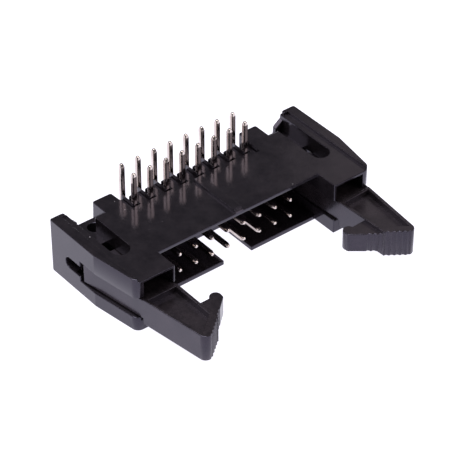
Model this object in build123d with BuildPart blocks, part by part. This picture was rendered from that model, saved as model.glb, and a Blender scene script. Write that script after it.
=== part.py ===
from build123d import *
import os
from math import cos, hypot, radians, sin, tan

# Right-angle box header with two swinging ejector latches, 2 rows of 8 pins, in mm.
# +X runs along the rows, -Y is the side that the plug enters, +Z is the board side.
# The origin is on the board seat, on the middle line, one pitch before the front tails.

# Contact grid and pins
PITCH = 2.54
COLUMNS = 8
PIN = 0.64
PIN_BEND = 0.75
TIP_LENGTH = 0.45
TIP_TAPER = 17
PIN_REACH = 6.0
TAIL_LENGTH = 3.87
UPPER_ROW_DEPTH = 3.2

# Housing heights
BODY_HEIGHT = 8.0
SEAT_HEIGHT = 0.4
FLOOR_WALL = 0.65
CAVITY_HEIGHT = 6.1

# Plug cavity
CAVITY_END = 3.86
CAVITY_DEPTH = 6.55
BACK_WALL = 1.95
TAIL_SETBACK = 1.55
FLOOR_SETBACK = 0.35
LEAD_IN = 0.35
KEY_HALF = 2.22
RIB_WIDTH = 1.35
RIB_RAMP = 0.6

# Comb that lines up the tails
COMB_END = 1.16
COMB_FLARE = 0.25
COMB_STEP = 0.55
COMB_THICKNESS = 1.2
COMB_REACH = 3.35
SLOT_WIDTH = 1.12
SLOT_LEAD = 0.4

# End blocks with their screw flanges
BLOCK_WIDTH = 6.95
BLOCK_REACH = 3.35
REAR_REACH = 4.65
NOSE_TAPER = 1.1
TAPER_LENGTH = 7.2
NOSE_RADIUS = 1.0
STRIP_WIDTH = 1.5
EAR_WALL = 0.45
EAR_LENGTH = 2.8
SCREW_HOLE = 1.8
SCREW_FROM_EAR = 1.0
SCREW_FROM_REAR = 1.75
SILL_WIDTH = 1.2
SILL_LENGTH = 0.75
SILL_HEIGHT = 1.9
SILL_SLOPE = 0.9
PAD_WIDTH = 0.6
PAD_LENGTH = 0.6

# Latch chamber in each end block
CHAMBER_FLOOR = 2.05
CHAMBER_HEIGHT = 3.05
OUTER_WALL = 0.4
MOUTH_GAP = 0.35
CORING_ROOF = 0.4
CORING_DEPTH = 4.6
CORING_INNER_WALL = 0.35
CORING_OUTER_WALL = 1.2
WINDOW_HEIGHT = 1.6
WINDOW_LENGTH = 3.05
WINDOW_DEPTH = 1.2
WINDOW_RISE = 0.65

# Latch pivot
PIVOT_FROM_SIDE = 3.7
PIVOT_FROM_NOSE = 6.75
TRUNNION = 2.4
TRUNNION_GAP = 0.05
TRUNNION_RISE = 0.5
TRUNNION_DROP = 1.1

# Latch arm and ejector toe
ARM_PLAY = 0.1
ARM_SIDE_GAP = 0.08
ARM_INSET = 0.55
ARM_TAPER = 8.5
TOE_REACH = 1.35
TOE_WIDTH = 1.3
TOE_PLAY = 0.1

# Latch head with its finger pocket and grip grooves
HEAD_GAP = 0.35
HEAD_LENGTH = 8.23
HEAD_DROP = 0.75
HEAD_FRONT_ANGLE = 38.7
HEAD_CORNER = 0.9
POCKET_DEPTH = 0.85
POCKET_RIM = 0.48
POCKET_FRONT_RIM = 1.6
HEAD_GROOVES = 5
GROOVE_PITCH = 0.7
GROOVE_RADIUS = 0.3
GROOVE_DEPTH = 0.14

# Hook that holds the plug
HOOK_SETBACK = 4.28
HOOK_LENGTH = 2.53
HOOK_STEP = 0.5
HOOK_THICKNESS = 2.75
HOOK_BULB = 0.8
HOOK_BULB_SETBACK = 0.19
HOOK_NOSE = 0.62
HOOK_NOSE_ANGLE = 5
HOOK_NOSE_RADIUS = 0.4
HOOK_FRONT_ANGLE = 41
HOOK_GROOVES = 3
RIGHT_LATCH_OPEN = 2.7

# Levels, from the board seat downwards
PLATE_TOP = -SEAT_HEIGHT
BODY_BOTTOM = -BODY_HEIGHT
CAVITY_BOTTOM = BODY_BOTTOM + FLOOR_WALL
CAVITY_TOP = CAVITY_BOTTOM + CAVITY_HEIGHT
CHAMBER_BOTTOM = BODY_BOTTOM + CHAMBER_FLOOR
CHAMBER_TOP = CHAMBER_BOTTOM + CHAMBER_HEIGHT
COMB_TOP = PLATE_TOP - COMB_STEP

# Lines across the plan, from the plug side to the rear
BACK_WALL_REAR = PITCH - TAIL_SETBACK
BACK_WALL_FRONT = BACK_WALL_REAR - BACK_WALL
MOUTH_Y = BACK_WALL_FRONT - CAVITY_DEPTH
NOSE_Y = MOUTH_Y - BLOCK_REACH
TIP_Y = BACK_WALL_FRONT - PIN_REACH
PIVOT_Y = NOSE_Y + PIVOT_FROM_NOSE
REAR_Y = BACK_WALL_REAR + REAR_REACH
EAR_Y = REAR_Y - EAR_LENGTH
SCREW_Y = REAR_Y - SCREW_FROM_REAR

# Distances from the middle line
COLUMN_HALF = (COLUMNS - 1) / 2 * PITCH
CAVITY_HALF = COLUMN_HALF + CAVITY_END
COMB_HALF = COLUMN_HALF + COMB_END
BLOCK_HALF = CAVITY_HALF + BLOCK_WIDTH
NOSE_HALF = BLOCK_HALF - NOSE_TAPER
PIVOT_X = BLOCK_HALF - PIVOT_FROM_SIDE
RECESS_HALF = TRUNNION / 2 + TRUNNION_GAP
RECESS_OUTER = PIVOT_X + RECESS_HALF
STRIP_INNER = BLOCK_HALF - STRIP_WIDTH
EAR_HALF = CAVITY_HALF + EAR_WALL
SCREW_X = EAR_HALF + SCREW_FROM_EAR

# Heel of the latch arm, from the pivot, and the room that it needs to swing
ARM_SLOPE = tan(radians(ARM_TAPER))
ARM_OUTER = NOSE_HALF - ARM_INSET - PIVOT_X + ARM_SLOPE * PIVOT_FROM_NOSE
HEEL_Y = BACK_WALL_FRONT - TOE_PLAY - PIVOT_Y
HEEL_X = ARM_OUTER + ARM_SLOPE * HEEL_Y
CHAMBER_REAR = PIVOT_Y + hypot(HEEL_X, HEEL_Y) + ARM_PLAY
SIDE_MOUTH_REAR = BACK_WALL_FRONT + MOUTH_GAP

COLUMN_X = [i * PITCH - COLUMN_HALF for i in range(COLUMNS)]
ROWS = {
    "upper": (-UPPER_ROW_DEPTH, PITCH),
    "lower": (-UPPER_ROW_DEPTH - PITCH, 2 * PITCH),
}


def box(x, y, z, mode):
    """Adds or cuts a block between three pairs of limits."""
    with Locations(((x[0] + x[1]) / 2, (y[0] + y[1]) / 2, (z[0] + z[1]) / 2)):
        Box(abs(x[1] - x[0]), y[1] - y[0], z[1] - z[0], mode=mode)


def block_outline():
    """Plan of the whole housing, with rounded noses on the end blocks."""
    with BuildLine() as outline:
        Polyline(
            (0, MOUTH_Y),
            (CAVITY_HALF, MOUTH_Y),
            (CAVITY_HALF, NOSE_Y),
            (NOSE_HALF, NOSE_Y),
            (BLOCK_HALF, NOSE_Y + TAPER_LENGTH),
            (BLOCK_HALF, REAR_Y),
            (0, REAR_Y),
        )
        mirror(about=Plane.YZ)
    plan = make_face(outline.edges())
    noses = plan.vertices().filter_by(lambda v: abs(abs(v.X) - NOSE_HALF) < PIN)
    fillet(noses, NOSE_RADIUS)


# Housing
with BuildPart() as housing:
    with BuildSketch(Plane.XY.offset(BODY_BOTTOM)):
        block_outline()
    extrude(amount=BODY_HEIGHT - SEAT_HEIGHT)
    with BuildSketch(Plane.XY.offset(PLATE_TOP)):
        block_outline()
        Rectangle(2 * STRIP_INNER, 4 * BLOCK_HALF, mode=Mode.SUBTRACT)
    extrude(amount=SEAT_HEIGHT)
    with BuildSketch(Plane.YZ.offset(-RIB_WIDTH / 2)):
        with BuildLine():
            Polyline(
                (MOUTH_Y, PLATE_TOP),
                (MOUTH_Y + RIB_RAMP, 0),
                (BACK_WALL_REAR, 0),
                (BACK_WALL_REAR, PLATE_TOP),
                close=True,
            )
        make_face()
    extrude(amount=RIB_WIDTH)

    # Plug cavity with its keyway
    cavity_x = (-CAVITY_HALF, CAVITY_HALF)
    box(cavity_x, (MOUTH_Y, BACK_WALL_FRONT), (CAVITY_BOTTOM, CAVITY_TOP), Mode.SUBTRACT)
    box(cavity_x, (MOUTH_Y, MOUTH_Y + FLOOR_SETBACK), (BODY_BOTTOM, CAVITY_BOTTOM), Mode.SUBTRACT)
    box((-KEY_HALF, KEY_HALF), (MOUTH_Y, BACK_WALL_FRONT), (BODY_BOTTOM, CAVITY_BOTTOM), Mode.SUBTRACT)
    with BuildSketch(Plane.YZ.offset(-CAVITY_HALF)):
        with BuildLine():
            Polyline(
                (MOUTH_Y, CAVITY_TOP),
                (MOUTH_Y, CAVITY_TOP + LEAD_IN),
                (MOUTH_Y + 2 * LEAD_IN, CAVITY_TOP),
                close=True,
            )
        make_face()
    extrude(amount=2 * CAVITY_HALF, mode=Mode.SUBTRACT)

    # Rear recess with the comb between the ears
    with BuildSketch(Plane.XY.offset(BODY_BOTTOM)):
        with BuildLine():
            Polyline(
                (-COMB_HALF, BACK_WALL_REAR),
                (COMB_HALF, BACK_WALL_REAR),
                (COMB_HALF + COMB_FLARE, REAR_Y),
                (-COMB_HALF - COMB_FLARE, REAR_Y),
                close=True,
            )
        make_face()
    extrude(amount=BODY_HEIGHT, mode=Mode.SUBTRACT)
    with BuildSketch(Plane.XY.offset(COMB_TOP - COMB_THICKNESS)):
        with Locations((0, BACK_WALL_REAR)):
            Rectangle(2 * COMB_HALF, COMB_REACH, align=(Align.CENTER, Align.MIN))
        with Locations([(x, PITCH - SLOT_LEAD) for x in COLUMN_X]):
            Rectangle(SLOT_WIDTH, REAR_REACH, align=(Align.CENTER, Align.MIN), mode=Mode.SUBTRACT)
    extrude(amount=COMB_THICKNESS)

    # Pin holes through the back wall
    for level, _ in ROWS.values():
        with BuildSketch(Plane.XZ.offset(-BACK_WALL_REAR)):
            with Locations([(x, level) for x in COLUMN_X]):
                Rectangle(PIN, PIN)
        extrude(amount=BACK_WALL, mode=Mode.SUBTRACT)

    for side in (-1, 1):
        # Flange behind the ear, with its screw hole
        flange_x = (side * EAR_HALF, side * RECESS_OUTER)
        box(flange_x, (EAR_Y, REAR_Y), (CHAMBER_TOP, PLATE_TOP), Mode.SUBTRACT)
        with Locations((side * SCREW_X, SCREW_Y, CHAMBER_TOP)):
            Hole(SCREW_HOLE / 2)

        # Open-ended recess whose round end carries the latch
        with BuildSketch(Plane.XY.offset(CHAMBER_TOP)):
            with Locations((side * PIVOT_X, PIVOT_Y)):
                Circle(RECESS_HALF)
                Rectangle(2 * RECESS_HALF, REAR_Y - PIVOT_Y, align=(Align.CENTER, Align.MIN))
        extrude(amount=-CHAMBER_TOP, mode=Mode.SUBTRACT)
        with Locations((side * PIVOT_X, PIVOT_Y, CHAMBER_BOTTOM)):
            Hole(RECESS_HALF, depth=TRUNNION_DROP + ARM_PLAY)

        # Sloped sill across the recess and a pad on the rim, at the rear end
        sill_top = CHAMBER_TOP + SILL_HEIGHT
        with BuildSketch(Plane.XZ.offset(-REAR_Y)):
            with BuildLine():
                Polyline(
                    (side * RECESS_OUTER, CHAMBER_TOP),
                    (side * RECESS_OUTER, sill_top),
                    (side * (RECESS_OUTER - SILL_WIDTH), sill_top - SILL_SLOPE),
                    (side * (RECESS_OUTER - SILL_WIDTH), CHAMBER_TOP),
                    close=True,
                )
            make_face()
        extrude(amount=SILL_LENGTH)
        pad_x = (side * (STRIP_INNER - PAD_WIDTH), side * STRIP_INNER)
        box(pad_x, (REAR_Y - PAD_LENGTH, REAR_Y), (PLATE_TOP, 0), Mode.ADD)

        # Chamber that the latch swings in, open at the nose, the side and the cavity
        mouth_x = (side * CAVITY_HALF, side * (BLOCK_HALF + OUTER_WALL))
        mouth_y = (NOSE_Y - HEAD_GAP, SIDE_MOUTH_REAR)
        box(mouth_x, mouth_y, (CHAMBER_BOTTOM, CHAMBER_TOP), Mode.SUBTRACT)
        rear_x = (side * CAVITY_HALF, side * (BLOCK_HALF - OUTER_WALL))
        box(rear_x, (PIVOT_Y, CHAMBER_REAR), (CHAMBER_BOTTOM, CHAMBER_TOP), Mode.SUBTRACT)
        coring_inner = CAVITY_HALF + CORING_INNER_WALL
        with BuildSketch(Plane.XY.offset(CHAMBER_TOP)):
            with BuildLine():
                Polyline(
                    (side * coring_inner, NOSE_Y),
                    (side * (NOSE_HALF - CORING_OUTER_WALL), NOSE_Y),
                    (side * STRIP_INNER, NOSE_Y + CORING_DEPTH),
                    (side * coring_inner, NOSE_Y + CORING_DEPTH),
                    close=True,
                )
            make_face()
        extrude(amount=PLATE_TOP - CORING_ROOF - CHAMBER_TOP, mode=Mode.SUBTRACT)

        # Round-ended window in the outer face
        window_middle = CHAMBER_BOTTOM + WINDOW_RISE + WINDOW_HEIGHT / 2
        with BuildSketch(Plane.YZ.offset(side * BLOCK_HALF)):
            with Locations((SIDE_MOUTH_REAR + WINDOW_LENGTH - WINDOW_HEIGHT / 2, window_middle)):
                Circle(WINDOW_HEIGHT / 2)
                Rectangle(WINDOW_LENGTH, WINDOW_HEIGHT, align=(Align.MAX, Align.CENTER))
        extrude(amount=-side * WINDOW_DEPTH, mode=Mode.SUBTRACT)
housing.part.label = "housing"


def latch(side, opening):
    """Latch on one end: -1 left, 1 right, with its head turned outward by some degrees."""
    turn = radians(side * opening)
    pivot = Plane((side * PIVOT_X, PIVOT_Y, 0), x_dir=(cos(turn), sin(turn), 0), z_dir=(0, 0, 1))
    front_slope = tan(radians(HEAD_FRONT_ANGLE))
    toe = CAVITY_HALF - TOE_REACH - PIVOT_X
    arm_inner = CAVITY_HALF + ARM_SIDE_GAP - PIVOT_X
    head_rear = -PIVOT_FROM_NOSE - HEAD_GAP
    head_front = head_rear - HEAD_LENGTH

    def at(x, y):
        return (side * x, y)

    def outer(y):
        return ARM_OUTER + ARM_SLOPE * y

    def front(x):
        return head_front - front_slope * (x - arm_inner)

    def front_corner(outer_rim, front_rim):
        """Where the outer face meets the front face, each moved inward by its rim."""
        x = ARM_OUTER - outer_rim + ARM_SLOPE * (front(0) + front_rim)
        x = x / (1 + ARM_SLOPE * front_slope)
        return at(x, front(x) + front_rim)

    def grooves(count, pitch, start_y, angle):
        """Middles of the grooves along a slanted front, from the arm's inner face."""
        slant = radians(angle)
        out = GROOVE_RADIUS - GROOVE_DEPTH
        steps = [(number + 1 / 2) * pitch for number in range(count)]
        return [
            at(
                arm_inner + step * cos(slant) - out * sin(slant),
                start_y - step * sin(slant) - out * cos(slant),
            )
            for step in steps
        ]

    with BuildPart() as piece:
        # Arm with the ejector toe
        with BuildSketch(pivot.offset(CHAMBER_BOTTOM + ARM_PLAY)):
            with BuildLine():
                Polyline(
                    at(arm_inner, head_rear),
                    at(arm_inner, HEEL_Y - TOE_WIDTH),
                    at(toe, HEEL_Y - TOE_WIDTH),
                    at(toe, HEEL_Y),
                    at(HEEL_X, HEEL_Y),
                    at(outer(head_rear), head_rear),
                    close=True,
                )
            make_face()
        extrude(amount=CHAMBER_HEIGHT - 2 * ARM_PLAY)

        # Head with upright grip grooves across its slanted front
        with BuildSketch(pivot.offset(CHAMBER_BOTTOM - HEAD_DROP)) as head:
            with BuildLine():
                Polyline(
                    at(arm_inner, head_rear),
                    at(arm_inner, head_front),
                    front_corner(0, 0),
                    at(outer(head_rear), head_rear),
                    close=True,
                )
            make_face()
            fillet(head.vertices().sort_by(Axis.Y)[0], HEAD_CORNER)
            with Locations(grooves(HEAD_GROOVES, GROOVE_PITCH, head_front, HEAD_FRONT_ANGLE)):
                Circle(GROOVE_RADIUS, mode=Mode.SUBTRACT)
        extrude(amount=CHAMBER_HEIGHT + HEAD_DROP)

        # Finger pocket in the head's top
        with BuildSketch(pivot.offset(CHAMBER_TOP)):
            with BuildLine():
                pocket_inner = arm_inner + POCKET_RIM
                pocket_rear = head_rear - POCKET_RIM
                Polyline(
                    at(pocket_inner, pocket_rear),
                    at(pocket_inner, front(pocket_inner) + POCKET_FRONT_RIM),
                    front_corner(POCKET_RIM, POCKET_FRONT_RIM),
                    at(outer(pocket_rear) - POCKET_RIM, pocket_rear),
                    close=True,
                )
            make_face()
        extrude(amount=-POCKET_DEPTH, mode=Mode.SUBTRACT)

        # Hook with a round bulb behind its nose
        bulb_x = arm_inner - HOOK_LENGTH
        hook_rear = head_rear - HOOK_SETBACK
        bulb_y = hook_rear - HOOK_BULB_SETBACK
        nose_x = bulb_x - HOOK_BULB + HOOK_NOSE * sin(radians(HOOK_NOSE_ANGLE))
        nose_y = bulb_y - HOOK_NOSE * cos(radians(HOOK_NOSE_ANGLE))
        hook_front = nose_y - (arm_inner - nose_x) * tan(radians(HOOK_FRONT_ANGLE))
        with BuildSketch(pivot.offset(CHAMBER_TOP - HOOK_STEP - HOOK_THICKNESS)) as hook:
            with BuildLine():
                Polyline(
                    at(arm_inner, hook_rear),
                    at(bulb_x, hook_rear),
                    at(bulb_x - HOOK_BULB, bulb_y),
                    at(nose_x, nose_y),
                    at(arm_inner, hook_front),
                    close=True,
                )
            make_face()
            nose = hook.vertices().filter_by(lambda v: abs(v.Y - nose_y) < HOOK_NOSE_RADIUS / 2)
            fillet(nose, HOOK_NOSE_RADIUS)
            with Locations(at(bulb_x, bulb_y)):
                Circle(HOOK_BULB)
            with Locations(grooves(HOOK_GROOVES, -GROOVE_PITCH, hook_front, HOOK_FRONT_ANGLE)):
                Circle(GROOVE_RADIUS, mode=Mode.SUBTRACT)
        extrude(amount=HOOK_THICKNESS)

        # Trunnion
        with BuildSketch(pivot.offset(CHAMBER_BOTTOM + ARM_PLAY - TRUNNION_DROP)):
            Circle(TRUNNION / 2)
        extrude(amount=CHAMBER_HEIGHT - 2 * ARM_PLAY + TRUNNION_DROP + TRUNNION_RISE)
    return piece


latch_left = latch(-1, 0)
latch_left.part.label = "latch_left"
latch_right = latch(1, RIGHT_LATCH_OPEN)
latch_right.part.label = "latch_right"

os.makedirs("parts", exist_ok=True)
export_step(housing.part, "parts/housing.step")
export_step(latch_left.part, "parts/latch_left.step")
export_step(latch_right.part, "parts/latch_right.step")

# Square pins, bent up into the board, numbered from -X
for row, (level, tail_y) in ROWS.items():
    for number, x in enumerate(COLUMN_X, start=1):
        with BuildPart() as contact:
            with BuildLine(Plane.YZ.offset(x)) as route:
                FilletPolyline(
                    (TIP_Y + TIP_LENGTH, level),
                    (tail_y, level),
                    (tail_y, TAIL_LENGTH - TIP_LENGTH),
                    radius=PIN_BEND,
                )
            with BuildSketch(Plane((x, TIP_Y + TIP_LENGTH, level), z_dir=(0, 1, 0))):
                Rectangle(PIN, PIN)
            sweep(path=route.wires()[0])
            extrude(contact.faces().sort_by(Axis.Y)[0], amount=TIP_LENGTH, taper=TIP_TAPER)
            extrude(contact.faces().sort_by(Axis.Z)[-1], amount=TIP_LENGTH, taper=TIP_TAPER)
        contact.part.label = f"contact_{row}_{number}"
        export_step(contact.part, f"parts/contact_{row}_{number}.step")
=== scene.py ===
import bmesh
import bpy
from math import cos, radians, sin
from mathutils import Matrix, Vector


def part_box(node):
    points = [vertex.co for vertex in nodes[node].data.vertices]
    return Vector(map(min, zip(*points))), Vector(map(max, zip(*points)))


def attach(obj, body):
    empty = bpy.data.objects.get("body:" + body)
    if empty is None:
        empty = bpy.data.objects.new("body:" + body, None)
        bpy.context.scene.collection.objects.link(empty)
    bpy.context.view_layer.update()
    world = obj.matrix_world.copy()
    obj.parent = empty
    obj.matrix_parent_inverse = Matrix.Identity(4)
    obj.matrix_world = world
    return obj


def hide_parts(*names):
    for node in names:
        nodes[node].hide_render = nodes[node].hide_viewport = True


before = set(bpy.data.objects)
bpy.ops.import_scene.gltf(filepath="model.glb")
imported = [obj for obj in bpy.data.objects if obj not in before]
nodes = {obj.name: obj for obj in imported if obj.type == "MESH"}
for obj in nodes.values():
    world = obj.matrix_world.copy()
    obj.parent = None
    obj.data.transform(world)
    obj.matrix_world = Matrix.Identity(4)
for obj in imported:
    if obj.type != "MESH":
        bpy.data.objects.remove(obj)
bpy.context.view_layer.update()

MM = 0.001
PITCH = 2.54 * MM
COLUMNS = 8
housing_low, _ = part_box("housing")

# Camera, where the picture of the header was taken from
PICTURE_PIXELS = 460
SENSOR_MILLIMETRES = 36
FOCAL_PIXELS = 2254.603
CAMERA_AZIMUTH = radians(-38.818)
CAMERA_ELEVATION = radians(38.137)
CAMERA_ROLL = radians(0.176)
CAMERA_DISTANCE = 283.099 * MM
AIM = Vector((0, -6.96, -3.2)) * MM
AIM_PIXEL_X = 236.949
AIM_PIXEL_Y = 227.274
NEAREST_SEEN = 1 * MM
FARTHEST_SEEN = 10


def picture_camera():
    """Camera at the picture's angle, so that the aim falls on its pixel."""
    azimuth, elevation = CAMERA_AZIMUTH, CAMERA_ELEVATION
    right = Vector((cos(azimuth), sin(azimuth), 0))
    away = Vector((sin(azimuth), -cos(azimuth), 0))
    back = away * cos(elevation) + Vector((0, 0, sin(elevation)))
    up = back.cross(right)
    rolled_right = right * cos(CAMERA_ROLL) + up * sin(CAMERA_ROLL)
    rolled_up = up * cos(CAMERA_ROLL) - right * sin(CAMERA_ROLL)
    data = bpy.data.cameras.new("picture_camera")
    data.sensor_width = SENSOR_MILLIMETRES
    data.lens = FOCAL_PIXELS * SENSOR_MILLIMETRES / PICTURE_PIXELS
    data.shift_x = (PICTURE_PIXELS / 2 - AIM_PIXEL_X) / PICTURE_PIXELS
    data.shift_y = (AIM_PIXEL_Y - PICTURE_PIXELS / 2) / PICTURE_PIXELS
    data.clip_start = NEAREST_SEEN
    data.clip_end = FARTHEST_SEEN
    camera = bpy.data.objects.new("picture_camera", data)
    turned = Matrix((rolled_right, rolled_up, back)).transposed().to_4x4()
    camera.matrix_world = Matrix.Translation(AIM + back * CAMERA_DISTANCE) @ turned
    bpy.context.scene.collection.objects.link(camera)
    bpy.context.scene.camera = camera


def linear(hex_colour):
    """The scene-linear colour of an sRGB hex value."""
    parts = [int(hex_colour[i:i + 2], 16) / 255 for i in (1, 3, 5)]
    return [c / 12.92 if c <= 0.04045 else ((c + 0.055) / 1.055) ** 2.4 for c in parts] + [1]


def add_node(tree, kind, inputs=None, **settings):
    """Adds a node with its settings; an input takes a value or another node's output."""
    made = tree.nodes.new(kind)
    for name, value in settings.items():
        setattr(made, name, value)
    for name, value in (inputs or {}).items():
        if isinstance(value, bpy.types.NodeSocket):
            tree.links.new(value, made.inputs[name])
        else:
            made.inputs[name].default_value = value
    return made


def new_material(name):
    """An empty node material, with its tree, its output and the place on the object."""
    material = bpy.data.materials.new(name)
    material.use_nodes = True
    tree = material.node_tree
    tree.nodes.clear()
    output = add_node(tree, "ShaderNodeOutputMaterial")
    place = add_node(tree, "ShaderNodeTexCoord").outputs["Object"]
    return material, tree, output, place


def per_metre(millimetres):
    """Texture scale that gives a pattern of this size."""
    return 1 / (millimetres * MM)


# Sizes of the patterns in millimetres, with a mould grain coarse enough to show
CLOUD_SIZE = 4.5
GRAIN_SIZE = 0.25
SPECK_SPACING = 1.1
DRAWN_WIDTH = 0.12
DRAWN_LENGTH = 2.5
MOTTLE_SIZE = 60

# Heights of the noise at which the darker and the lighter tone are reached
NOISE_LOW = 0.3
NOISE_HIGH = 0.7
CLOUD_LOW = 0.35

# Reach of a speck as a share of the spacing, depth of the grain, and softness of the edges
SPECK_REACH = 0.07
GRAIN_DEPTH = 0.01 * MM
GRAIN_STRENGTH = 0.4
EDGE_SOFTNESS = 0.03 * MM
EDGE_SAMPLES = 6
PLASTIC_IOR = 1.55


def set_tones(ramp, low, dark, light):
    """Gives the colour ramp its darker tone from low down, and its lighter one at the top."""
    for stop, height, tone in zip(ramp.color_ramp.elements, (low, NOISE_HIGH), (dark, light)):
        stop.position = height
        stop.color = linear(tone)


def moulded_plastic(name, dark, light, smooth, dull, speck_share):
    """Black moulded thermoplastic: dark, glossy, faintly clouded, with a few dust specks."""
    material, tree, output, place = new_material(name)
    cloud = add_node(tree, "ShaderNodeTexNoise", {
        "Vector": place, "Scale": per_metre(CLOUD_SIZE), "Detail": 7, "Roughness": 0.8})
    grain = add_node(tree, "ShaderNodeTexNoise", {
        "Vector": place, "Scale": per_metre(GRAIN_SIZE), "Detail": 3, "Roughness": 0.6})
    colour = add_node(tree, "ShaderNodeValToRGB", {"Fac": cloud.outputs["Fac"]})
    set_tones(colour, CLOUD_LOW, dark, light)
    gloss = add_node(tree, "ShaderNodeMapRange", {
        "Value": cloud.outputs["Fac"], "From Min": NOISE_LOW, "From Max": NOISE_HIGH,
        "To Min": smooth, "To Max": dull})

    # A few cells of the pattern hold a pale speck of dust at their middle
    cells = add_node(tree, "ShaderNodeTexVoronoi", {
        "Vector": place, "Scale": per_metre(SPECK_SPACING)})
    core = add_node(tree, "ShaderNodeMath", {
        0: cells.outputs["Distance"], 1: SPECK_REACH}, operation="LESS_THAN")
    chosen = add_node(tree, "ShaderNodeSeparateColor", {"Color": cells.outputs["Color"]})
    rare = add_node(tree, "ShaderNodeMath", {
        0: chosen.outputs["Red"], 1: speck_share}, operation="LESS_THAN")
    speck = add_node(tree, "ShaderNodeMath", {
        0: core.outputs[0], 1: rare.outputs[0]}, operation="MULTIPLY")
    dusty = add_node(tree, "ShaderNodeMix", {
        "Factor": speck.outputs[0], 6: colour.outputs["Color"], 7: linear("#a3a0a6")},
        data_type="RGBA")

    # Soft edges and the fine grain catch the light
    rounded = add_node(tree, "ShaderNodeBevel", {"Radius": EDGE_SOFTNESS}, samples=EDGE_SAMPLES)
    bump = add_node(tree, "ShaderNodeBump", {
        "Strength": GRAIN_STRENGTH, "Distance": GRAIN_DEPTH, "Height": grain.outputs["Fac"],
        "Normal": rounded.outputs["Normal"]})
    shader = add_node(tree, "ShaderNodeBsdfPrincipled", {
        "Base Color": dusty.outputs[2], "Roughness": gloss.outputs["Result"], "IOR": PLASTIC_IOR,
        "Specular Tint": linear("#e6e0ff"), "Normal": bump.outputs["Normal"]})
    tree.links.new(shader.outputs["BSDF"], output.inputs["Surface"])
    return material


def tin_plate(name, dark, light, smooth, dull):
    """Bright tin over copper alloy: silvery with a warm cast, with marks drawn along the wire."""
    material, tree, output, place = new_material(name)
    drawn = add_node(tree, "ShaderNodeMapping", {
        "Vector": place,
        "Scale": (per_metre(DRAWN_WIDTH), per_metre(DRAWN_LENGTH), per_metre(DRAWN_LENGTH))})
    streak = add_node(tree, "ShaderNodeTexNoise", {
        "Vector": drawn.outputs["Vector"], "Scale": 1, "Detail": 3, "Roughness": 0.55})
    colour = add_node(tree, "ShaderNodeValToRGB", {"Fac": streak.outputs["Fac"]})
    set_tones(colour, NOISE_LOW, dark, light)
    gloss = add_node(tree, "ShaderNodeMapRange", {
        "Value": streak.outputs["Fac"], "From Min": NOISE_LOW, "From Max": NOISE_HIGH,
        "To Min": smooth, "To Max": dull})
    rounded = add_node(tree, "ShaderNodeBevel", {"Radius": EDGE_SOFTNESS}, samples=EDGE_SAMPLES)
    shader = add_node(tree, "ShaderNodeBsdfPrincipled", {
        "Base Color": colour.outputs["Color"], "Metallic": 1.0,
        "Roughness": gloss.outputs["Result"], "Normal": rounded.outputs["Normal"]})
    tree.links.new(shader.outputs["BSDF"], output.inputs["Surface"])
    return material


def table_paint(name):
    """Matt white paint, lit from within, as on a light table: evenly white with no shadow."""
    material, tree, output, place = new_material(name)
    mottle = add_node(tree, "ShaderNodeTexNoise", {
        "Vector": place, "Scale": per_metre(MOTTLE_SIZE), "Detail": 2})
    pale = add_node(tree, "ShaderNodeMix", {
        "Factor": mottle.outputs["Fac"], 6: linear("#8c8c94"), 7: linear("#919198")},
        data_type="RGBA")
    shader = add_node(tree, "ShaderNodeBsdfPrincipled", {
        "Base Color": pale.outputs[2], "Roughness": 0.7,
        "Emission Color": linear("#f5f3fd"), "Emission Strength": 1.12})
    tree.links.new(shader.outputs["BSDF"], output.inputs["Surface"])
    return material


# Reach within which corners are one, and the angles that tell a flat face and a sharp edge
WELD = 0.0005 * MM
FLAT = radians(0.5)
SHARP = radians(40)

# Radii that the moulds and the drawn wire leave on the edges
MOULD_RADIUS = 0.1 * MM
CORNER_RADIUS = 0.28 * MM
WIRE_RADIUS = 0.13 * MM
EDGE_SEGMENTS = 2
CORNER_SEGMENTS = 3


def new_piece(name, shape, material, body):
    """Turns the shape into a piece that rides on the body."""
    mesh = bpy.data.meshes.new(name)
    shape.to_mesh(mesh)
    shape.free()
    mesh.materials.append(material)
    piece = bpy.data.objects.new(name, mesh)
    bpy.context.scene.collection.objects.link(piece)
    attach(piece, body)
    return piece


def round_edges(shape, edges, radius, segments):
    """Rounds the edges with a radius, as a mould or a drawn wire has them."""
    bmesh.ops.bevel(shape, geom=edges, offset=radius, offset_type="OFFSET", segments=segments,
                    profile=0.5, affect="EDGES", clamp_overlap=False, material=-1)


def sharp_edges(shape):
    """Edges that stand out, such as a wall's rim, and not the inner corner of a recess."""
    return [edge for edge in shape.edges if edge.is_convex and edge.calc_face_angle() > SHARP]


def rear_corners(shape):
    """Upright outer corners at the very rear of the housing."""
    rear = max(vertex.co.y for vertex in shape.verts) - WELD
    chosen = []
    for edge in sharp_edges(shape):
        run = edge.verts[1].co - edge.verts[0].co
        upright = abs(run.z) > CORNER_RADIUS and abs(run.x) + abs(run.y) < WELD
        if upright and edge.verts[0].co.y > rear:
            chosen.append(edge)
    return chosen


def rounded_copy(name, node, material, body, radius):
    """Copy of a part of the frame with its edges rounded, shown in that part's place."""
    shape = bmesh.new()
    shape.from_mesh(nodes[node].data)
    bmesh.ops.remove_doubles(shape, verts=shape.verts, dist=WELD)
    bmesh.ops.dissolve_limit(shape, angle_limit=FLAT, verts=shape.verts, edges=shape.edges)
    if node == "housing":
        round_edges(shape, rear_corners(shape), CORNER_RADIUS, CORNER_SEGMENTS)
    round_edges(shape, sharp_edges(shape), radius, EDGE_SEGMENTS)
    piece = new_piece(name, shape, material, body)
    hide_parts(node)


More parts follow.
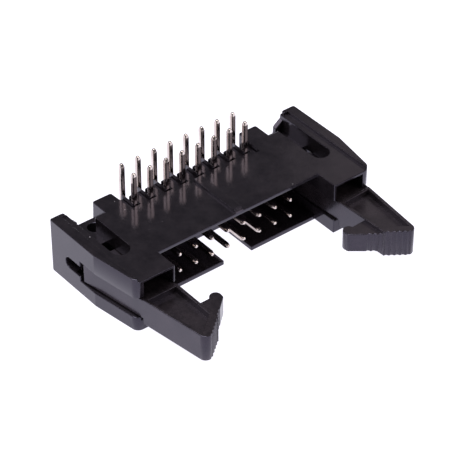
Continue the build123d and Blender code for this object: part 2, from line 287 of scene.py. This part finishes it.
# Guides of the comb: a low rim along the left side of each slot, and the teeth's thick ends
SLOT_HALF = 0.56 * MM
RIM_WIDTH = 0.14 * MM
RIM_TOP = -0.4 * MM
RIM_REAR = 4.6 * MM
TOOTH_TOP = -1.2 * MM
TOOTH_REAR = 4.5 * MM
GUIDE_FRONT = 2.14 * MM
GUIDE_BOTTOM = -2.6 * MM


def add_block(shape, low, high):
    """Adds a block between two corners."""
    made = bmesh.ops.create_cube(shape, size=1)["verts"]
    middle, span = (Vector(low) + Vector(high)) / 2, Vector(high) - Vector(low)
    bmesh.ops.scale(shape, verts=made, vec=span)
    bmesh.ops.translate(shape, verts=made, vec=middle)


def comb_guides(material):
    """Rims and thick tooth ends that keep the tails in line."""
    shape = bmesh.new()
    for number in range(COLUMNS):
        column = (number - (COLUMNS - 1) / 2) * PITCH
        slot_left = column - SLOT_HALF
        add_block(shape, (slot_left, GUIDE_FRONT, GUIDE_BOTTOM),
                  (slot_left + RIM_WIDTH, RIM_REAR, RIM_TOP))
        if number + 1 < COLUMNS:
            add_block(shape, (column + SLOT_HALF, GUIDE_FRONT, GUIDE_BOTTOM),
                      (slot_left + PITCH, TOOTH_REAR, TOOTH_TOP))
    new_piece("comb_guides", shape, material, "housing")


# Pale table that the header lies on, tails up
TABLE_HALF = 1.5


def pale_table(material):
    """Flat table top under the lowest face of the housing."""
    sheet = bmesh.new()
    bmesh.ops.create_grid(sheet, x_segments=1, y_segments=1, size=TABLE_HALF)
    bmesh.ops.translate(sheet, verts=sheet.verts, vec=(0, 0, housing_low.z))
    mesh = bpy.data.meshes.new("pale_table")
    sheet.to_mesh(mesh)
    sheet.free()
    mesh.materials.append(material)
    table = bpy.data.objects.new("pale_table", mesh)
    bpy.context.scene.collection.objects.link(table)


def add_softbox(name, place, size, power, colour):
    """Square soft light that faces the header."""
    data = bpy.data.lights.new(name, "AREA")
    data.size = size
    data.energy = power
    data.color = linear(colour)[:3]
    made = bpy.data.objects.new(name, data)
    made.location = place
    made.rotation_mode = "QUATERNION"
    made.rotation_quaternion = (AIM - Vector(place)).to_track_quat("-Z", "Y")
    bpy.context.scene.collection.objects.link(made)


def studio_room(colour, strength):
    """Even light from the walls of the room."""
    world = bpy.data.worlds.new("studio_room")
    world.use_nodes = True
    walls = world.node_tree.nodes["Background"]
    walls.inputs["Color"].default_value = linear(colour)
    walls.inputs["Strength"].default_value = strength
    bpy.context.scene.world = world


picture_camera()

# Filled polyester from a polished mould: deep black, with a gloss that mirrors the tails
housing_plastic = moulded_plastic(
    "black_glossy_moulded_polyester",
    dark="#131014", light="#2a262a", smooth=0.1, dull=0.17, speck_share=0.06)

# Nylon, moulded: a shade lighter, and satin where the housing is glossy
latch_plastic = moulded_plastic(
    "black_satin_moulded_nylon",
    dark="#151215", light="#352f33", smooth=0.18, dull=0.28, speck_share=0.01)

# Brass wire, drawn square and tinned: it mirrors its surroundings, with a faint warm cast
pin_plate = tin_plate(
    "bright_tin_plated_brass", dark="#b9aca6", light="#e2dad6", smooth=0.1, dull=0.2)

rounded_copy("moulded_housing", "housing", housing_plastic, "housing",
             MOULD_RADIUS)
for side in ("left", "right"):
    latch = f"latch_{side}"
    rounded_copy(f"moulded_{side}_latch", latch, latch_plastic, latch,
                 MOULD_RADIUS)
for row in ("upper", "lower"):
    for number in range(1, COLUMNS + 1):
        rounded_copy(f"{row}_pin_{number}", f"contact_{row}_{number}", pin_plate, "housing",
                     WIRE_RADIUS)
comb_guides(housing_plastic)
pale_table(table_paint("matt_white_table_paint"))

# Softboxes to each side of the tails and above, and a card for a sheen on the right top faces
add_softbox("left_softbox", place=(-0.45, 0.45, 0.5), size=0.4, power=1.6, colour="#fff6f4")
add_softbox("front_softbox", place=(0.35, -0.5, 0.5), size=0.4, power=1.4, colour="#fff3ee")
add_softbox("top_softbox", place=(-0.15, 0.1, 0.8), size=0.5, power=4.5, colour="#ffffff")
add_softbox("right_card", place=(0.3, 0.17, 0.205), size=0.2, power=0.045, colour="#fff0e8")
studio_room("#dcdbe0", 0.19)
bpy.context.scene.view_settings.view_transform = "Standard"
